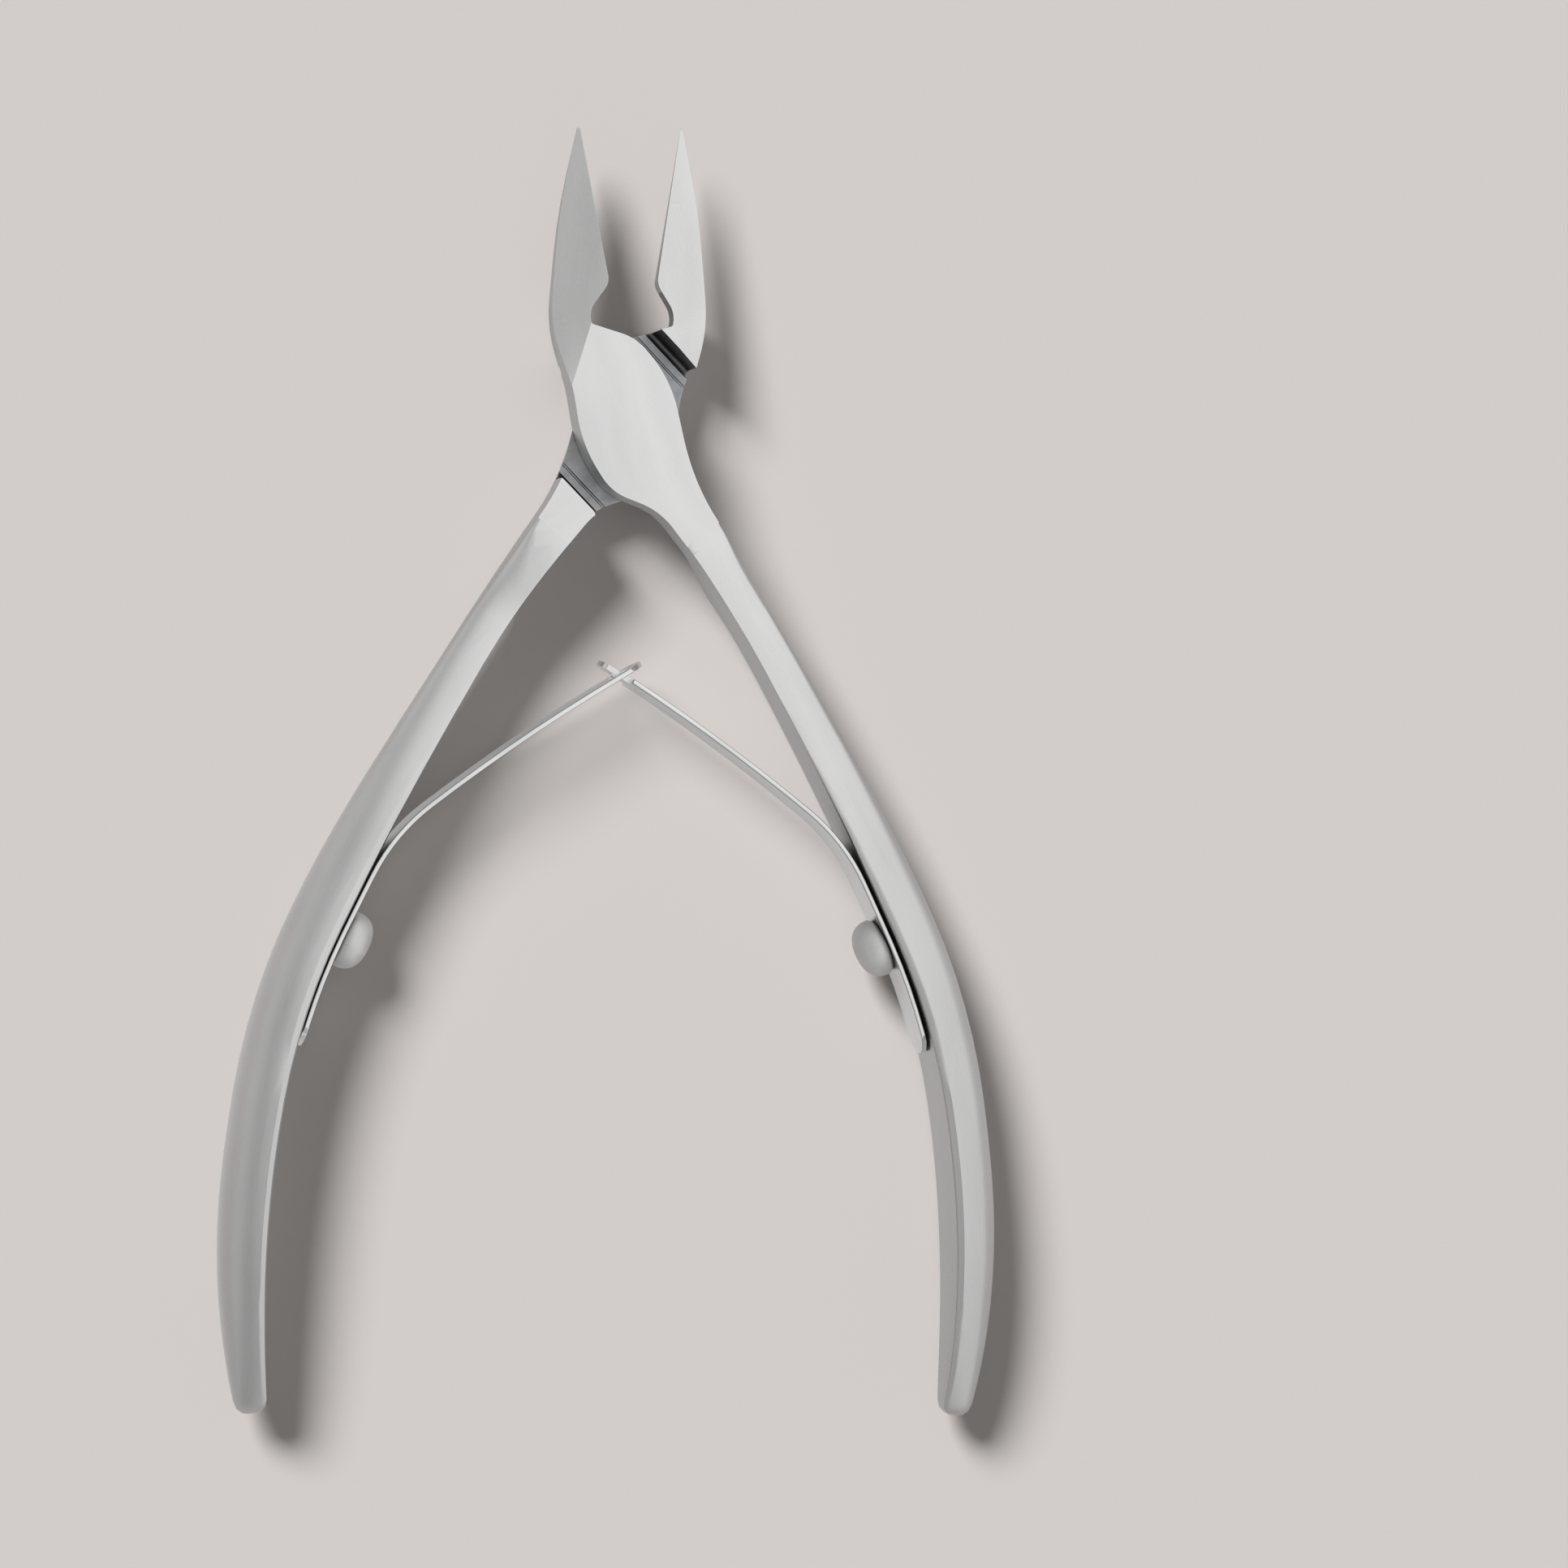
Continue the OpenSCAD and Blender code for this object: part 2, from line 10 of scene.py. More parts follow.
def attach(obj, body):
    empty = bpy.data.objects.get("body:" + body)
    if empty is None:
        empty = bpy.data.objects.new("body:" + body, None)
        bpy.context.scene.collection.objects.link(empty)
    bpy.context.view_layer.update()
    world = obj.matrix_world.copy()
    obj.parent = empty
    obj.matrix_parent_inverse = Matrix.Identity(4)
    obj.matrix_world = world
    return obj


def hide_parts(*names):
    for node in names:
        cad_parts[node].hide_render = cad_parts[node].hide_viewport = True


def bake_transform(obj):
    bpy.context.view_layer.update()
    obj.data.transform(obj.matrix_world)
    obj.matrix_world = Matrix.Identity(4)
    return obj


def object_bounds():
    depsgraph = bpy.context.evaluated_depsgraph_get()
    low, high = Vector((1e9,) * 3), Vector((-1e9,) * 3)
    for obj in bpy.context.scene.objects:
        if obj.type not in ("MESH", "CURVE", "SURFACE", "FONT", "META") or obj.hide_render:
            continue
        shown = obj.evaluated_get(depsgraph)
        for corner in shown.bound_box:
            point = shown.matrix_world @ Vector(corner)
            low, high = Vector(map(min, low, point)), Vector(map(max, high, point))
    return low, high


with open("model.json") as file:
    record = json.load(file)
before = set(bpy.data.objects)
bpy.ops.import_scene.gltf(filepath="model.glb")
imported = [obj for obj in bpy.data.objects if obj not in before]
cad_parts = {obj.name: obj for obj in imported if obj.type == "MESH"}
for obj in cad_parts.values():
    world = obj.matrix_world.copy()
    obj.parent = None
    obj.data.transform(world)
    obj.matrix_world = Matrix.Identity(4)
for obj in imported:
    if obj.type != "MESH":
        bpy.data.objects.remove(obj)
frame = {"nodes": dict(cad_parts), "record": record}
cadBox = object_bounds()
mm = 0.001
middleZ = 4.2  # mm, half the thickness of the head, where the laps meet
print("frame loaded:", ", ".join(sorted(frame["nodes"])))


# One socket in a node tree. Operators between wires and numbers add Math nodes.
class Wire:
    def __init__(self, bench, socket):
        self.bench = bench
        self.socket = socket

    def maths(self, operation, first, second):
        return self.bench.node("ShaderNodeMath", {"operation": operation}, {0: first, 1: second})

    def __add__(self, other):
        return self.maths("ADD", self, other)

    def __radd__(self, other):
        return self.maths("ADD", other, self)

    def __sub__(self, other):
        return self.maths("SUBTRACT", self, other)

    def __rsub__(self, other):
        return self.maths("SUBTRACT", other, self)

    def __mul__(self, other):
        return self.maths("MULTIPLY", self, other)

    def __rmul__(self, other):
        return self.maths("MULTIPLY", other, self)

    def __truediv__(self, other):
        return self.maths("DIVIDE", self, other)

    def __rtruediv__(self, other):
        return self.maths("DIVIDE", other, self)


# A node tree with one way to add a node: its type, its settings, then its sockets
class Bench:
    def __init__(self, tree):
        self.tree = tree
        tree.nodes.clear()

    def node(self, kind, settings=None, sockets=None, out=0):
        made = self.tree.nodes.new(kind)
        for name, value in (settings or {}).items():
            setattr(made, name, value)
        for name, value in (sockets or {}).items():
            if isinstance(value, Wire):
                self.tree.links.new(value.socket, made.inputs[name])
            else:
                made.inputs[name].default_value = value
        return Wire(self, made.outputs[out]) if made.outputs else made

    def smooth(self, value, low, high):
        return self.node("ShaderNodeMapRange", {"interpolation_type": "SMOOTHSTEP"},
                         {"Value": value, "From Min": low, "From Max": high})

    def mixColour(self, factor, first, second):
        return self.node("ShaderNodeMix", {"data_type": "RGBA"},
                         {0: factor, 6: first, 7: second}, out=2)

    def dot(self, first, second):
        return self.node("ShaderNodeVectorMath", {"operation": "DOT_PRODUCT"},
                         {0: first, 1: second}, out="Value")

    def part(self, vector, axis):
        return self.node("ShaderNodeSeparateXYZ", {}, {0: vector}, out=axis)

    def noise(self, vector, scale, detail, roughness):
        stretched = self.node("ShaderNodeVectorMath", {"operation": "MULTIPLY"}, {0: vector, 1: scale})
        return self.node("ShaderNodeTexNoise", {}, {"Vector": stretched, "Scale": 1.0, "Detail": detail,
                                                    "Roughness": roughness})


def newMaterial(name):
    material = bpy.data.materials.new(name)
    material.use_nodes = True
    return material, Bench(material.node_tree)


# A colour on a screen's scale, 0 to 255, as the linear values that a shader takes
def linear(red, green, blue):
    def channel(value):
        value /= 255
        return value / 12.92 if value <= 0.04045 else ((value + 0.055) / 1.055) ** 2.4
    return (channel(red), channel(green), channel(blue), 1.0)


def grey(level):
    return (level, level, level, 1.0)


# Camera: above the nipper and a little to its left, through a long lens
camera = {
    "place": (-106.4, -40.0, 650.0),  # mm
    "aim": (15.98, -33.33, 4.0),      # mm
    "roll": 1.0,                      # degrees
    "focal": 8601.0,                  # pixels
    "picture": 1932,                  # pixels across
    "sensor": 36.0,                   # mm
    "clip": (0.05, 20.0),             # m
}


def placeCamera():
    data = bpy.data.cameras.new("camera")
    data.sensor_width = camera["sensor"]
    data.lens = camera["focal"] / camera["picture"] * camera["sensor"]
    data.clip_start, data.clip_end = camera["clip"]
    eye = bpy.data.objects.new("camera", data)
    bpy.context.scene.collection.objects.link(eye)
    place = Vector(camera["place"]) * mm
    ahead = (Vector(camera["aim"]) * mm - place).normalized()
    right = ahead.cross(Vector((0, 1, 0))).normalized()
    up = right.cross(ahead)
    roll = math.radians(camera["roll"])
    leanRight = right * math.cos(roll) + up * math.sin(roll)
    leanUp = up * math.cos(roll) - right * math.sin(roll)
    turn = Matrix((leanRight, leanUp, -ahead)).transposed().to_4x4()
    eye.matrix_world = Matrix.Translation(place) @ turn
    bpy.context.scene.camera = eye


placeCamera()
print("camera placed")


# Studio: a soft key from the upper left for the shadow, and a dome that is
# brighter overhead and at the right
studio = {
    "paper": (211, 206, 203),
    "keyFrom": (-0.8, 0.82, 1.0),
    "keySpread": 22.0,                 # degrees
    "keyStrength": 3.55,
    "springShadow": 0.35,              # share of the key that the thin springs block
    "fill": 0.24,                      # dome light on the paper
    "domeDim": 0.62,
    "domeTurn": (0.95, 0.3, 0.0),
    "domeRise": (-0.45, 0.42, 0.66),   # from, to, and how much light it adds
    "rightFall": (0.15, 0.55, -0.2),
    "leftRim": (-0.6, -1.0, 0.17),
    "paperGlow": 0.6,                  # share of a painted glow in the paper that the steel mirrors
    "paperNeck": 0.38,                 # that tone, between the necks, between the grips and beside them
    "paperGrip": 0.6,
    "paperLeft": 0.8,
    "paperRight": 0.9,
    "turnGrip": (-20.0, -70.0),        # mm, where those tones change
    "turnLeft": (-4.0, -40.0),
    "turnRight": (22.0, 70.0),
    "floorHalf": 3000.0,               # mm
    "floorDrop": 0.02,                 # mm below the nipper
}


def lightDome(scene):
    world = bpy.data.worlds.new("dome")
    world.use_nodes = True
    scene.world = world
    bench = Bench(world.node_tree)
    direction = bench.node("ShaderNodeTexCoord", out="Generated")
    east = bench.part(direction, "X")
    turn = bench.dot(direction, studio["domeTurn"])
    glow = studio["domeDim"]
    for place, band in ((turn, "domeRise"), (east, "rightFall"), (east, "leftRim")):
        start, end, gain = studio[band]
        glow = glow + gain * bench.smooth(place, start, end)
    path = "ShaderNodeLightPath"
    seen = bench.node(path, out="Is Camera Ray")
    mirrored = bench.node(path, out="Is Glossy Ray")
    seenThrough = bench.node(path, out="Is Transmission Ray")
    shown = bench.node("ShaderNodeMath", {"operation": "MAXIMUM"}, {0: mirrored, 1: seenThrough})
    level = bench.node("ShaderNodeMix", {"data_type": "FLOAT"}, {0: shown, 2: studio["fill"], 3: glow})
    plain = bench.node("ShaderNodeBackground", {}, {"Color": grey(1.0), "Strength": level})
    paper = bench.node("ShaderNodeBackground", {}, {"Color": linear(*studio["paper"]), "Strength": 1.0})
    mixed = bench.node("ShaderNodeMixShader", {}, {0: seen, 1: plain, 2: paper})
    bench.node("ShaderNodeOutputWorld", {}, {"Surface": mixed})


# The key is two lamps in one place. The thin springs cast a shadow from the first alone.
def hangKey(scene):
    for name, share in (("keyFull", studio["springShadow"]), ("keySoft", 1 - studio["springShadow"])):
        key = bpy.data.lights.new(name, "SUN")
        key.energy = studio["keyStrength"] * share
        key.angle = math.radians(studio["keySpread"])
        lamp = bpy.data.objects.new(name, key)
        lamp.rotation_euler = Vector(studio["keyFrom"]).to_track_quat("Z", "Y").to_euler()
        lamp.visible_glossy = False
        scene.collection.objects.link(lamp)


# The paper shows its shadow to the camera. To the steel that mirrors it, it partly glows with a painted
# tone, darker between the necks and lighter towards the grip ends, the left and the right, that stands
# in for light and shade on the paper
def layPaper(scene):
    material, bench = newMaterial("paper")
    lit = bench.node("ShaderNodeBsdfDiffuse", {}, {"Color": linear(*studio["paper"])})
    place = bench.node("ShaderNodeNewGeometry", out="Position")
    east = bench.part(place, "X")
    north = bench.part(place, "Y")
    tone = grey(studio["paperNeck"])
    for side, way in (("Grip", north), ("Left", east), ("Right", east)):
        away = bench.smooth(way / mm, *studio["turn" + side])
        tone = bench.mixColour(away, tone, grey(studio["paper" + side]))
    # Painted reflection: a glow whose tone is set by place on the paper
    paintedGlow = bench.node("ShaderNodeEmission", {}, {"Color": tone, "Strength": 1.0})
    mirrored = bench.node("ShaderNodeLightPath", out="Is Glossy Ray") * studio["paperGlow"]
    upper = bench.node("ShaderNodeMixShader", {}, {0: mirrored, 1: lit, 2: paintedGlow})
    under = bench.node("ShaderNodeNewGeometry", out="Backfacing")
    clear = bench.node("ShaderNodeBsdfTransparent")
    surface = bench.node("ShaderNodeMixShader", {}, {0: under, 1: upper, 2: clear})
    bench.node("ShaderNodeOutputMaterial", {}, {"Surface": surface})

    half = studio["floorHalf"] * mm
    low = cadBox[0].z - studio["floorDrop"] * mm
    corners = [(-half, -half, low), (half, -half, low), (half, half, low), (-half, half, low)]
    mesh = bpy.data.meshes.new("floor")
    mesh.from_pydata(corners, [], [(0, 1, 2, 3)])
    mesh.materials.append(material)
    floor = bpy.data.objects.new("floor", mesh)
    scene.collection.objects.link(floor)


bpy.context.scene.view_settings.view_transform = "Standard"
lightDome(bpy.context.scene)
hangKey(bpy.context.scene)
layPaper(bpy.context.scene)
print("studio lit")


# Steel finishes
satin = {
    "dull": (0.6, 0.6, 0.597, 1.0),
    "clean": (0.67, 0.67, 0.667, 1.0),
    "far": 0.7,                    # painted shade: tone of the grip ends against the head
    "wornHighlight": (0.74, 0.74, 0.73, 1.0),
    "roughness": 0.29,
    "grain": (9.0, 0.3, 9.0),      # streaks per mm across, along and through
    "cloud": (0.22, 0.05, 0.22),
    "grainDepth": 0.0009,          # mm
}
polished = {
    "dull": (0.82, 0.82, 0.815, 1.0),
    "clean": (0.92, 0.92, 0.915, 1.0),
    "far": 1.0,
    "wornHighlight": (0.92, 0.92, 0.91, 1.0),
    "roughness": 0.22,
    "grain": (14.0, 0.5, 14.0),
    "cloud": (0.3, 0.1, 0.3),
    "grainDepth": 0.0006,
}
tumbled = {
    "dull": (0.56, 0.56, 0.555, 1.0),
    "clean": (0.63, 0.63, 0.625, 1.0),
    "far": 1.0,
    "wornHighlight": (0.76, 0.76, 0.755, 1.0),
    "roughness": 0.58,
    "grain": (5.0, 5.0, 5.0),
    "cloud": (0.5, 0.5, 0.5),
    "grainDepth": 0.0014,
}
milled = {
    "dull": (0.27, 0.275, 0.28, 1.0),
    "clean": (0.39, 0.395, 0.4, 1.0),
    "far": 1.0,
    "wornHighlight": grey(0.5),
    "roughness": 0.42,
    "grain": (4.0, 4.0, 4.0),
    "cloud": (0.6, 0.6, 0.6),
    "grainDepth": 0.002,
}
# Painted shade: a near-black finish for the walls and grooves by the shoulders of the recess
grooveShade = dict(milled, dull=grey(0.1), clean=grey(0.16))
sheared = dict(polished, dull=(0.6, 0.6, 0.597, 1.0), clean=(0.7, 0.7, 0.697, 1.0),
               wornHighlight=(0.7, 0.7, 0.697, 1.0))
# Painted shade: a dark line on the rounded long edges of the strips
roundedEdgeShade = dict(polished, dull=grey(0.26), clean=grey(0.34), wornHighlight=grey(0.34))

# What brushing and handling do to every finish, with painted highlight on the edges and painted shade in
# crevices
use = {
    "streakNoise": (3.0, 0.6),     # detail and roughness
    "cloudNoise": (2.0, 0.5),
    "noiseMiddle": 0.5,
    "toneShares": (0.7, 0.3),      # of the clouds and the streaks
    "toneBand": (0.3, 0.7),
    "gripRun": 95.0,               # mm from the grip ends to the full tone
    "edgeReach": 0.2,              # mm
    "edgeSamples": 4,
    "wearHighlightBand": (0.02, 0.2),
    "wearHighlight": 0.6,
    "creviceShadeReach": 0.9,              # mm
    "creviceShadeSamples": 8,
    "creviceShadeBand": (0.45, 0.95),
    "creviceShade": 0.85,
    "creviceShadeColour": (0.035, 0.034, 0.032, 1.0),
    "streakRough": 0.12,           # what streaks, clouds and the mask of the painted crevice shade add to the roughness
    "cloudRough": 0.08,
    "creviceShadeRough": 0.25,
    "bump": 0.35,
}


def steel(name, finish):
    material, bench = newMaterial(name)
    place = bench.node("ShaderNodeAttribute", {"attribute_name": "grain"}, out="Vector")
    streaks = bench.noise(place, finish["grain"], *use["streakNoise"])
    clouds = bench.noise(place, finish["cloud"], *use["cloudNoise"])
    cloudShare, streakShare = use["toneShares"]
    tone = bench.smooth(clouds * cloudShare + streaks * streakShare, *use["toneBand"])
    colour = bench.mixColour(tone, finish["dull"], finish["clean"])

    # Painted shade: the colour gets darker towards the grip ends
    far = bench.node("ShaderNodeMapRange", {}, {"Value": bench.part(place, "Y"), "From Min": 0.0,
                                                "From Max": use["gripRun"],
                                                "To Min": finish["far"], "To Max": 1.0})
    colour = bench.node("ShaderNodeVectorMath", {"operation": "SCALE"}, {0: colour, "Scale": far})

    # Edges are brightened, partly by real wear from handling and partly by painted highlight, and joints
    # and crevices get painted shade
    facing = bench.node("ShaderNodeNewGeometry", out="Normal")
    softened = bench.node("ShaderNodeBevel", {"samples": use["edgeSamples"]},
                          {"Radius": use["edgeReach"] * mm})
    agree = bench.dot(facing, softened)
    # Painted shade: an ambient occlusion mask darkens joints, gaps and crevices towards near black, and
    # makes them rougher
    openness = bench.node("ShaderNodeAmbientOcclusion", {"samples": use["creviceShadeSamples"]},
                          {"Distance": use["creviceShadeReach"] * mm}, out="AO")
    creviceShade = bench.smooth(1.0 - openness, *use["creviceShadeBand"])
    # Painted highlight along the edges, with some real wear, lighter where the bevelled normal turns
    # away
    wearHighlight = bench.smooth(1.0 - agree, *use["wearHighlightBand"]) * (1.0 - creviceShade)
    colour = bench.mixColour(wearHighlight * use["wearHighlight"], colour, finish["wornHighlight"])
    colour = bench.mixColour(creviceShade * use["creviceShade"], colour, use["creviceShadeColour"])
    roughness = (finish["roughness"] + (streaks - use["noiseMiddle"]) * use["streakRough"]
                 + (clouds - use["noiseMiddle"]) * use["cloudRough"] + creviceShade * use["creviceShadeRough"])

    bump = bench.node("ShaderNodeBump", {}, {"Height": streaks, "Strength": use["bump"],
                                             "Distance": finish["grainDepth"] * mm})
    surface = bench.node("ShaderNodeBsdfPrincipled", {}, {"Base Color": colour, "Metallic": 1.0,
                                                          "Roughness": roughness, "Normal": bump})
    bench.node("ShaderNodeOutputMaterial", {}, {"Surface": surface})
    return material


finishes = {
    "lever_steel": steel("satinSteel", satin),
    "spring_steel": steel("springSteel", polished),
    "rivet_steel": steel("rivetSteel", tumbled),
}
milledAndShadeSteel = steel("milledAndShadeSteel", milled)
grooveShadeSteel = steel("grooveShadeSteel", grooveShade)
shearedSteel = steel("shearedSteel", sheared)
roundedEdgeShadeSteel = steel("roundedEdgeShadeSteel", roundedEdgeShade)
print("finishes mixed")


def slotOf(node):
    return next(part["material_slot"] for part in frame["record"]["subparts"] if part["node"] == node)


def bodyOf(node):
    return next(body for body, nodes in frame["record"]["behaviour"]["bodies"].items() if node in nodes)


# Grain coordinates in mm: across, along and through a piece that runs down the nipper
grainStep = 1.0   # mm along the nipper
grainNear = 2.0   # mm, how far up and down a step looks for the middle of the piece


def setGrain(mesh):
    points = np.array([v.co for v in mesh.vertices]) / mm
    steps = np.arange(points[:, 1].min(), points[:, 1].max() + grainStep, grainStep)
    middle = []
    for y in steps:
        near = points[np.abs(points[:, 1] - y) < grainNear]
        middle.append((near[:, 0].min() + near[:, 0].max()) / 2 if len(near) else np.nan)
    middle = np.array(middle)
    known = ~np.isnan(middle)
    middle = np.interp(steps, steps[known], middle[known])
    run = np.concatenate([[0.0], np.cumsum(np.hypot(np.diff(middle), np.diff(steps)))])
    across = points[:, 0] - np.interp(points[:, 1], steps, middle)
    along = np.interp(points[:, 1], steps, run)
    grain = np.stack([across, along, points[:, 2]], 1).astype(np.float32)
    layer = mesh.attributes.new("grain", "FLOAT_VECTOR", "POINT")
    layer.data.foreach_set("vector", grain.ravel())


# The piece as its modifiers leave it
def settled(piece):
    made = piece.evaluated_get(bpy.context.evaluated_depsgraph_get())
    piece.data = bpy.data.meshes.new_from_object(made)
    piece.modifiers.clear()


def middleOf(line):
    return (line.verts[0].co + line.verts[1].co) / (2 * mm)


meshing = {
    "sliver": 0.002,       # mm, shorter edges are closed up
    "snap": 0.001,         # mm
    "headFoot": -9.0,      # mm, where the head ends and the grips begin
    "cornerSegments": 6,
    "roundProfile": 0.5,
}


# A piece with the shape of its node, welded, with the edges rounded that its own dictionary picks
def rounded(node, edge):
    bm = bmesh.new()
    bm.from_mesh(frame["nodes"][node].data)
    bmesh.ops.remove_doubles(bm, verts=bm.verts, dist=edge["weld"] * mm)
    bmesh.ops.dissolve_degenerate(bm, dist=meshing["sliver"] * mm, edges=bm.edges)
    bmesh.ops.dissolve_limit(bm, angle_limit=math.radians(edge["flat"]), verts=bm.verts, edges=bm.edges)
    corners = [line for line in bm.edges if "corner" in edge and edge["corner"](line)]
    if corners:
        bmesh.ops.bevel(bm, geom=corners, offset=edge["cornerRound"] * mm, offset_type="OFFSET",
                        segments=meshing["cornerSegments"], profile=meshing["roundProfile"],
                        affect="EDGES", clamp_overlap=False)
    weights = bm.edges.layers.float.new("bevel_weight_edge")
    for line in bm.edges:
        crisp = line.calc_face_angle(0.0) > math.radians(edge["sharp"])
        line[weights] = edge["softness"](middleOf(line), line) if crisp else 0.0
    mesh = bpy.data.meshes.new(node + "_finished")
    bm.to_mesh(mesh)
    bm.free()
    piece = bpy.data.objects.new(node + "_finished", mesh)
    bpy.context.scene.collection.objects.link(piece)
    bevel = piece.modifiers.new("brokenEdges", "BEVEL")
    bevel.width = edge["width"] * mm
    bevel.segments = edge["segments"]
    bevel.limit_method = "WEIGHT"
    bevel.miter_outer = "MITER_ARC"
    bevel.use_clamp_overlap = False
    settled(piece)
    return piece


# The rounded piece, crowned where it is domed, smooth between its creases, with grain and finish
def dressed(node, edge):
    piece = rounded(node, edge)
    bm = bmesh.new()
    bm.from_mesh(piece.data)
    for axis, low, high in edge.get("grid", ()):
        for place in np.arange(low, high, edge["cell"]):
            normal = Vector((0, 0, 0))
            normal[axis] = 1
            bmesh.ops.bisect_plane(bm, geom=bm.verts[:] + bm.edges[:] + bm.faces[:],
                                   dist=meshing["snap"] * mm, plane_co=normal * (place * mm),
                                   plane_no=normal)
    for point in bm.verts:
        if "crown" in edge and point.co.z > edge["crownFrom"] * mm:
            out = min(point.co.to_2d().length / mm / edge["crownReach"], 1.0)
            point.co.z += edge["crown"] * mm * (1 - out ** 2) ** 2
    for line in bm.edges:
        inHead = line.verts[0].co.y > meshing["headFoot"] * mm
        crease = edge.get("headCrease", edge["crease"]) if inHead else edge["crease"]
        line.smooth = line.calc_face_angle(0.0) < math.radians(crease)
    bm.to_mesh(piece.data)
    bm.free()
    piece.data.polygons.foreach_set("use_smooth", [True] * len(piece.data.polygons))
    piece.modifiers.new("evenFlats", "WEIGHTED_NORMAL").keep_sharp = True
    settled(piece)
    setGrain(piece.data)
    piece.data.materials.clear()
    piece.data.materials.append(finishes[slotOf(node)])
    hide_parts(node)
    slotOf(node)
    return piece


# The milled recess in the joint, between its two shoulders, whose shoulder walls and grooves get a
# near-black finish that is painted shade
recess = {
    "slope": 35.5,               # degrees across the closed nipper
    "halfOpen": 9.7,             # degrees that each lever is turned in the open nipper
    "reach": 8.26,               # mm from the pivot
    "groove": 0.85,              # mm along the floor
    "deep": 0.55,                # mm
    "tilt": 0.25,                # how far a face may lean along the recess
}
# The wall of the throat above the recess, on the back lever, which gets the darker milled finish as
# painted shade
throatWall = {
    "across": (2.2, 4.7),        # mm
    "up": (9.0, 12.3),           # mm
    "facing": 0.3,               # how far it faces left, at least
    "upright": 0.3,              # how far it leans, at most
}


# Hand is 1 or -1 for the way the lever is turned, upper for a recess that opens to the front or the back
def millRecess(piece, hand, upper):
    piece.data.materials.append(milledAndShadeSteel)
    piece.data.materials.append(grooveShadeSteel)
    tilt = math.radians(hand * recess["slope"] + hand * recess["halfOpen"])
    along = Vector((math.cos(tilt), math.sin(tilt), 0))
    across = Vector((-math.sin(tilt), math.cos(tilt), 0))
    left, right = throatWall["across"]
    low, high = throatWall["up"]
    for face in piece.data.polygons:
        centre = face.center / mm
        reach = abs(centre.dot(across))
        height = (centre.z - middleZ) * upper
        inRecess = reach < recess["reach"] and height > -recess["deep"]
        if inRecess and abs(face.normal.dot(along)) < recess["tilt"]:
            # Faces by the shoulders get the painted shade, the rest of the floor the milled finish
            face.material_index = 2 if reach > recess["reach"] - recess["groove"] else 1
        # Painted shade: the left-facing throat wall gets the darker milled finish; the recess floor has
        # it as its real machined finish
        onWall = face.normal.x < -throatWall["facing"] and abs(face.normal.z) < throatWall["upright"]
        if upper > 0 and onWall and low < centre.y < high and left < centre.x < right:
            face.material_index = 1


# The front rim of the left shoulder is rounded, and less and less towards the jaw and the grip
rim = {
    "from": 8.3,              # mm above the back
    "jaw": (4.0, 1.0),        # mm up the nipper, from none to full
    "neck": (12.2, 10.2),     # mm from the pivot, from none to full
}
# Its upright corners are rounded most
shoulder = {
    "right": -3.0,            # mm, the corners lie further left
    "top": -3.0,              # mm, and further down
    "above": 5.0,             # mm above the back
    "tall": 3.0,              # mm
    "upright": 0.9,
    "turn": 0.6,              # radians
}


def ramp(value, none, full):
    return min(max((value - none) / (full - none), 0.0), 1.0)


def headEdges(place, line):
    front = place.z > rim["from"] and line.is_convex
    return ramp(place.y, *rim["jaw"]) * ramp(place.length, *rim["neck"]) if front else 0.0


def shoulderCorners(line):
    place = middleOf(line)
    upright = abs((line.verts[1].co - line.verts[0].co).normalized().z) > shoulder["upright"]
    tall = line.calc_length() > shoulder["tall"] * mm and place.z > shoulder["above"]
    atLeft = place.x < shoulder["right"] and place.y < shoulder["top"]
    return upright and tall and atLeft and line.calc_face_angle(0.0) > shoulder["turn"]


def everyEdge(place, line):
    return 1.0


def noEdge(place, line):
    return 0.0


leverEdge = {
    "weld": 0.02,              # mm
    "flat": 0.6,               # degrees, flatter joins between faces are taken out
    "width": 0.12,             # mm, of the rounded edges
    "segments": 3,
    "sharp": 34.0,             # degrees, sharper edges can be rounded
    "crease": 32.0,            # degrees, sharper edges stay crisp
    "headCrease": 23.0,
    "corner": shoulderCorners,
    "cornerRound": 0.7,        # mm
    "softness": headEdges,
    "grid": ((0, -7.3, 7.5), (1, -11.7, 28.0)),  # axis, and from and to in mm
    "cell": 1.5,               # mm
}
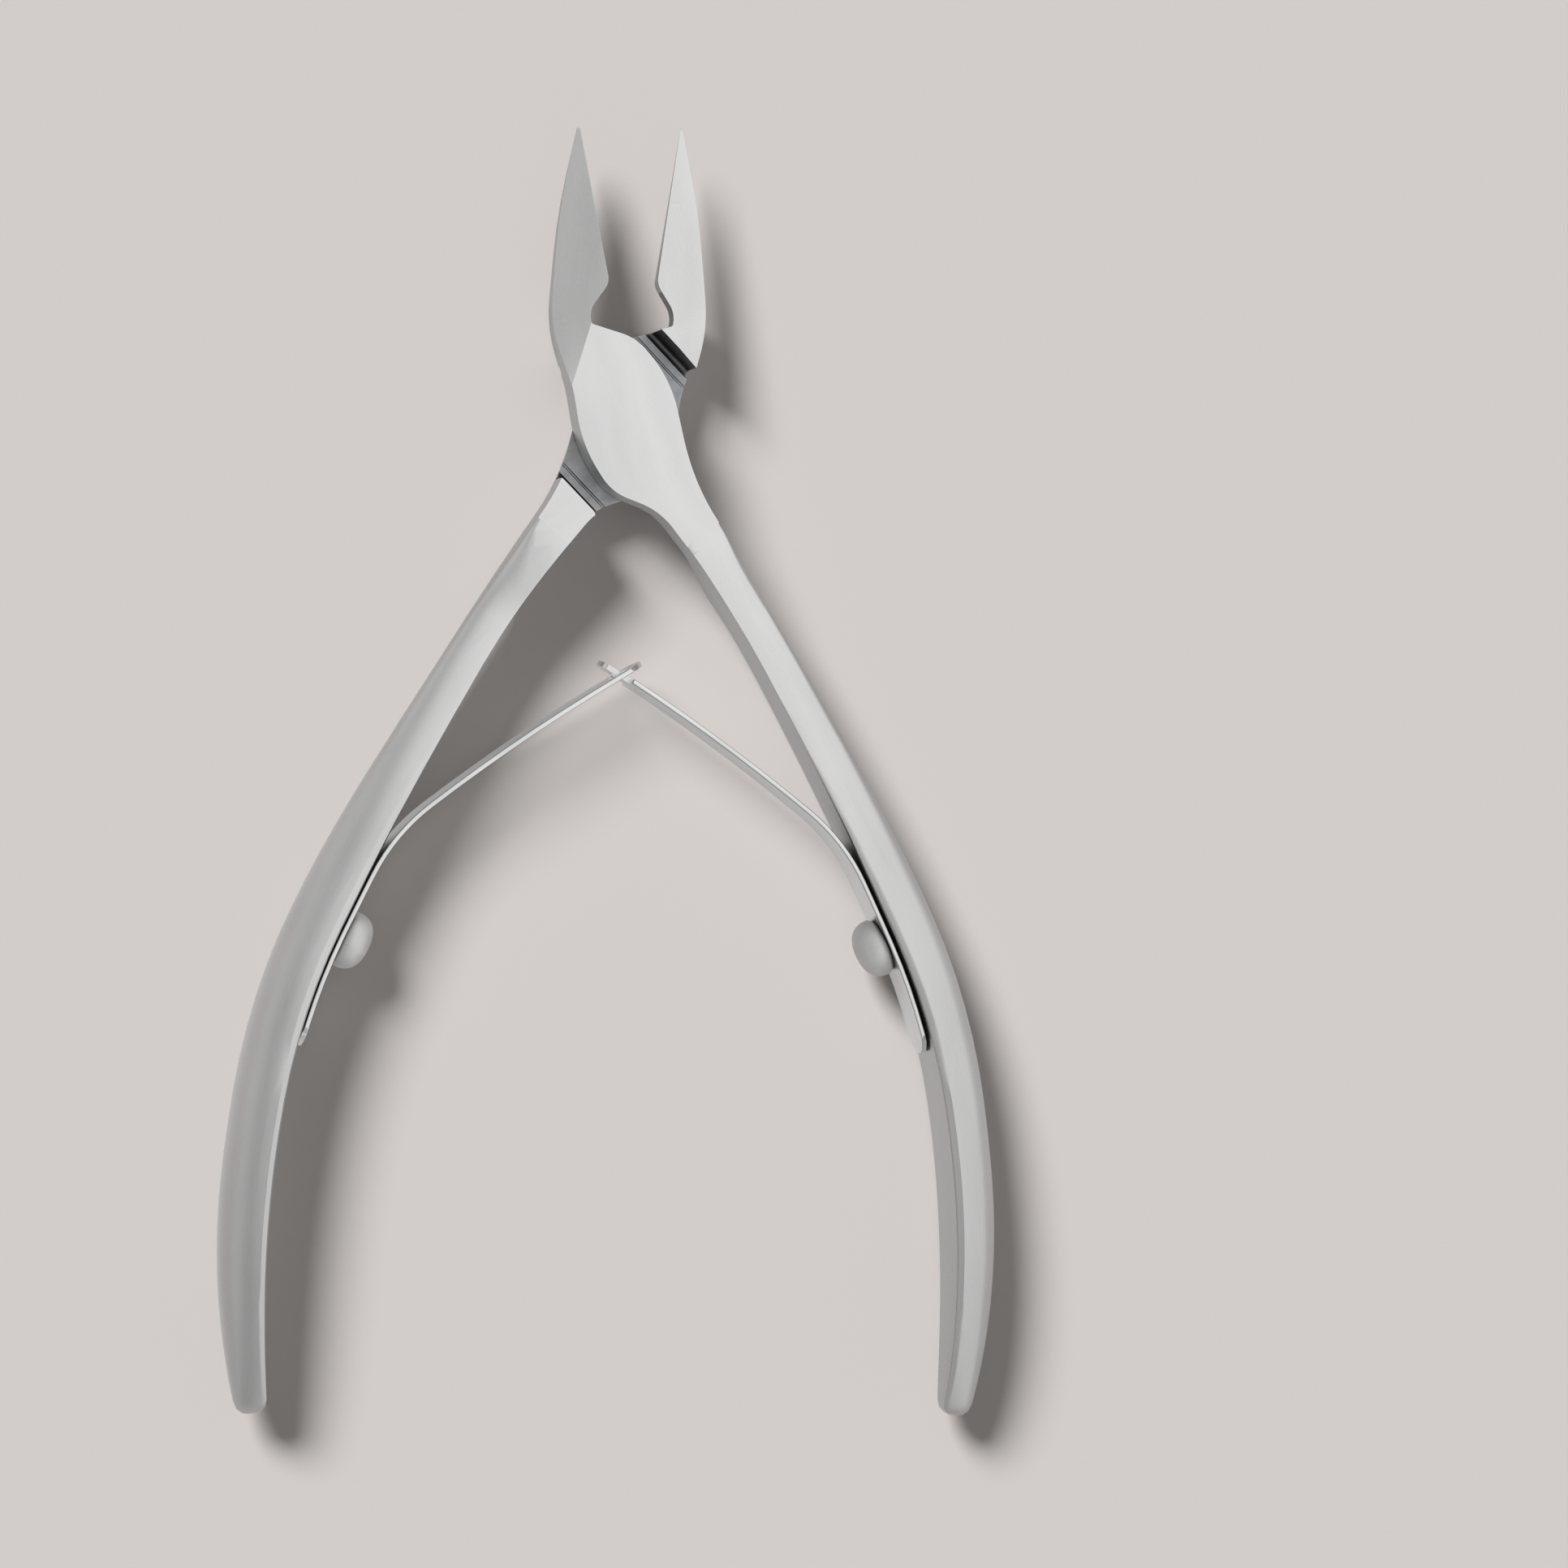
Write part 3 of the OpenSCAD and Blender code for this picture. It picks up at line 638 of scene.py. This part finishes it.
# The boss on the front lever is a little domed, and its rim stays crisp
bossEdge = dict(leverEdge, softness=noEdge, crown=0.5, crownFrom=8.39, crownReach=11.5)  # mm
rivetEdge = {
    "weld": 0.002,
    "flat": 0.1,
    "width": 0.05,
    "segments": 2,
    "sharp": 40.0,
    "crease": 50.0,
    "softness": everyEdge,
}

for node, edge, hand, upper in (("front_lever", bossEdge, 1, -1), ("back_lever", leverEdge, -1, 1)):
    piece = dressed(node, edge)
    millRecess(piece, hand, upper)
    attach(piece, bodyOf(node))
for node in ("pivot_rivet", "left_spring_rivet", "right_spring_rivet"):
    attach(dressed(node, rivetEdge), bodyOf(node))
print("levers and rivets dressed")


# The long edges of the strips are sheared bright, and where they are rounded they get a dark line of
# painted shade
strip = {
    "rim": 2.9,                # mm from the middle, edges further out are rounded
    "shadeFrom": 2.6,             # mm from the middle, rounded faces further out get the painted shade
    "sheared": 0.8,            # how far a face points up or down
    "rounded": 0.1,
    "seat": (22.5, -43.5),     # mm, where the strip lies on its grip
    "crossing": -23.8,         # mm, where the strips hook together
}


def stripEdges(place, line):
    return 1.0 if abs(place.z - middleZ) > strip["rim"] else 0.0


def shearEdges(piece):
    piece.data.materials.append(shearedSteel)
    piece.data.materials.append(roundedEdgeShadeSteel)
    for face in piece.data.polygons:
        upright = abs(face.normal.z)
        if upright > strip["sheared"]:
            face.material_index = 1
        # Painted shade on the steeper rounded faces near the long edges
        elif upright > strip["rounded"] and abs(face.center.z / mm - middleZ) > strip["shadeFrom"]:
            face.material_index = 2


springEdge = dict(rivetEdge, weld=0.01, width=0.13, softness=stripEdges)  # mm
thinPieces = bpy.data.collections.new("thinPieces")
for node, ownBody, otherBody in (("left_leaf_spring", "left_half", "right_half"),
                                 ("right_leaf_spring", "right_half", "left_half")):
    piece = dressed(node, springEdge)
    shearEdges(piece)
    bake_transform(piece)
    thinPieces.objects.link(piece)
for member in thinPieces.collection_objects:
    member.light_linking.link_state = "EXCLUDE"
bpy.data.objects["keySoft"].light_linking.blocker_collection = thinPieces
